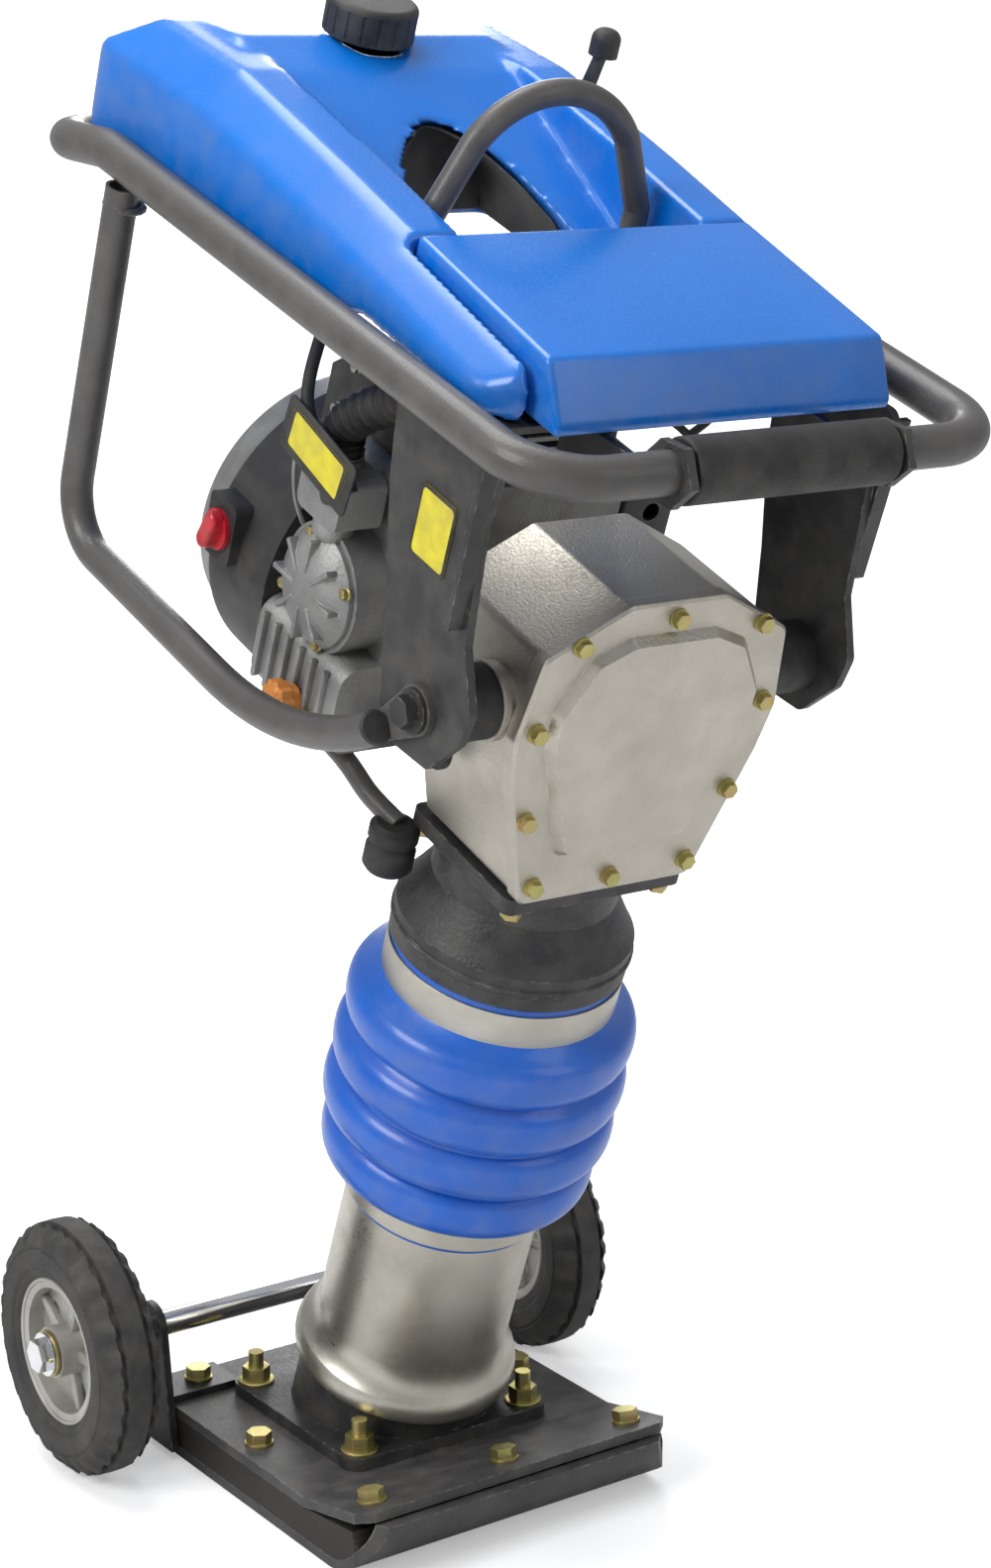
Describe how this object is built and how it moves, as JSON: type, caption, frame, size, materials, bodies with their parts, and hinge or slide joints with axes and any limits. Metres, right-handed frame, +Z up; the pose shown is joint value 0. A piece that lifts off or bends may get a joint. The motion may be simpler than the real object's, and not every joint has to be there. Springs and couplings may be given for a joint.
{
  "type": "jumping jack rammer",
  "caption": "Upright soil compactor: an engine-driven crank and spring leg hop a flat steel shoe, steered by a looped handle under a blue tank, with transport wheels.",
  "frame": {"origin": "the point where the leg's axis meets the ground, under the foot, on the plane of symmetry", "axes": "+X forward to the toe, +Y to the left, +Z up; the leg leans forward 21 degrees from +Z"},
  "size_m": [0.6836, 0.494, 1.1146],
  "materials": {
    "foot_paint": "satin dark grey paint",
    "wood": "laminated, edge-painted dark",
    "casting_dark": "satin paint on casting",
    "steel_silver": "drawn and zinc plated",
    "zinc": "yellow zinc",
    "steel": "machined",
    "chrome": "polished",
    "rim": "satin silver paint",
    "tyre": "moulded, matt",
    "bellows": "glossy blue",
    "bronze": "machined",
    "aluminium": "sand cast, satin",
    "engine_alloy": "die cast",
    "black_paint": "satin black",
    "tube_paint": "satin dark grey powder coat",
    "plate_paint": "satin charcoal",
    "rubber": "matt",
    "blue_plastic": "glossy moulded",
    "black_plastic": "moulded, fine grain",
    "red_plastic": "glossy",
    "filter_foam": "open foam and pleated paper"
  },
  "bodies": {
    "leg": {"sole_plate": "foot_paint", "sole_block": "wood", "foot_top_plate": "foot_paint", "foot_studs": "zinc", "foot_bolts": "zinc", "base_casting": "casting_dark", "spring_cylinder": "steel_silver", "cylinder_cap": "steel", "lower_clamp": "steel_silver", "wheel_axle": "chrome", "axle_brackets": "black_paint"},
    "wheel_left": {"rim_left": "rim", "tyre_left": "tyre"},
    "wheel_right": {"rim_right": "rim", "tyre_right": "tyre"},
    "upper": {"guide_cylinder": "casting_dark", "guide_liner": "bronze", "upper_clamp": "steel_silver", "bellows": "bellows", "crankcase": "aluminium", "crankcase_cover": "aluminium", "case_bolts": "zinc", "oil_plug": "black_plastic", "crank_bearings": "steel", "engine_block": "engine_alloy", "rocker_cover": "engine_alloy", "recoil_cover": "engine_alloy", "fan_shroud": "black_plastic", "muffler": "black_paint", "carburettor": "engine_alloy", "rubber_mounts": "rubber"},
    "crank": {"crank_gear": "steel"},
    "connecting_rod": {"con_rod": "steel"},
    "plunger": {"plunger_rod": "steel", "wrist_pin": "steel", "spring_plate": "steel", "upper_spring": "steel", "lower_spring": "steel"},
    "pinion": {"pinion_shaft": "steel"},
    "engine_shaft": {"engine_crankshaft": "steel", "flywheel": "casting_dark", "clutch_shoes": "steel"},
    "handle": {"handle_loop": "tube_paint", "guard_tubes": "tube_paint", "side_plates": "plate_paint", "bridge_plate": "plate_paint", "mount_bolts": "black_paint", "fuel_tank": "blue_plastic", "filter_cover": "blue_plastic", "filter_element": "filter_foam", "lifting_hoop": "tube_paint", "fuel_hose": "rubber", "throttle_cable": "rubber"},
    "throttle": {"throttle_lever": "black_plastic"},
    "cap": {"fuel_cap": "black_plastic"},
    "roller": {"transport_roller": "rubber"},
    "starter": {"starter_grip": "black_plastic"},
    "switch": {"engine_switch": "red_plastic"},
    "choke": {"choke_lever": "black_plastic"},
    "valve": {"fuel_valve": "black_plastic"}
  },
  "joints": [
    {"name": "leg_travel", "type": "slide", "parent": "leg", "child": "upper", "axis": [0.3584, 0, 0.9336], "range_m": [-0.022, 0.035], "stiffness_N_per_m": 20000, "springref_m": 0.0293, "deforming": ["bellows", "upper_spring", "lower_spring"]},
    {"name": "wheel_left_spin", "type": "hinge", "parent": "leg", "child": "wheel_left", "pos_m": [-0.1, 0.209, 0.1], "axis": [0, 1, 0], "continuous": true},
    {"name": "wheel_right_spin", "type": "hinge", "parent": "leg", "child": "wheel_right", "pos_m": [-0.1, -0.209, 0.1], "axis": [0, 1, 0], "continuous": true},
    {"name": "crank_turn", "type": "hinge", "parent": "upper", "child": "crank", "pos_m": [0.26161, 0, 0.68151], "axis": [0.9336, 0, -0.3584], "range_deg": [-20, 20]},
    {"name": "con_rod_swing", "type": "hinge", "parent": "crank", "child": "connecting_rod", "pos_m": [0.26161, 0.022, 0.68151], "axis": [0.9336, 0, -0.3584], "range_deg": [-21, 21]},
    {"name": "plunger_slide", "type": "slide", "parent": "upper", "child": "plunger", "axis": [0.3584, 0, 0.9336], "range_m": [-0.0078, 0.0078]},
    {"name": "pinion_turn", "type": "hinge", "parent": "upper", "child": "pinion", "pos_m": [0.24011, 0, 0.6255], "axis": [0.9336, 0, -0.3584], "range_deg": [-95.3, 95.3]},
    {"name": "engine_spin", "type": "hinge", "parent": "upper", "child": "engine_shaft", "pos_m": [0.10007, 0, 0.67925], "axis": [0.9336, 0, -0.3584], "continuous": true},
    {"name": "handle_flex", "type": "hinge", "parent": "upper", "child": "handle", "pos_m": [0.30104, 0, 0.66424], "axis": [0, 1, 0], "range_deg": [-2.5, 2.5], "stiffness_Nm_per_rad": 4000, "springref_deg": 0.35, "deforming": ["fuel_hose", "throttle_cable"]},
    {"name": "throttle_turn", "type": "hinge", "parent": "handle", "child": "throttle", "pos_m": [0.00214, 0.18, 1.0157], "axis": [0, 1, 0], "range_deg": [-10, 55]},
    {"name": "fuel_cap_turn", "type": "hinge", "parent": "handle", "child": "cap", "pos_m": [0.00216, 0, 1.07995], "axis": [0.3584, 0, 0.9336], "continuous": true},
    {"name": "roller_spin", "type": "hinge", "parent": "handle", "child": "roller", "pos_m": [0.46218, 0, 0.82732], "axis": [0, 1, 0], "continuous": true},
    {"name": "starter_pull", "type": "slide", "parent": "upper", "child": "starter", "axis": [-0.9336, 0, 0.3584], "range_m": [0, 0.45]},
    {"name": "switch_turn", "type": "hinge", "parent": "upper", "child": "switch", "pos_m": [0.00081, -0.133, 0.73878], "axis": [0, 1, 0], "range_deg": [0, 60]},
    {"name": "choke_turn", "type": "hinge", "parent": "upper", "child": "choke", "pos_m": [0.15213, -0.132, 0.78138], "axis": [0, 1, 0], "range_deg": [-45, 10]},
    {"name": "fuel_valve_turn", "type": "hinge", "parent": "handle", "child": "valve", "pos_m": [0.10027, -0.112, 0.91697], "axis": [0.3584, 0, 0.9336], "range_deg": [-90, 0]}
  ],
  "couplings": [
    {"joint": "con_rod_swing", "follows": "crank_turn", "ratio": -1},
    {"joint": "plunger_slide", "follows": "crank_turn", "m_per_rad": 0.022},
    {"joint": "pinion_turn", "follows": "crank_turn", "ratio": -4.7143}
  ]
}
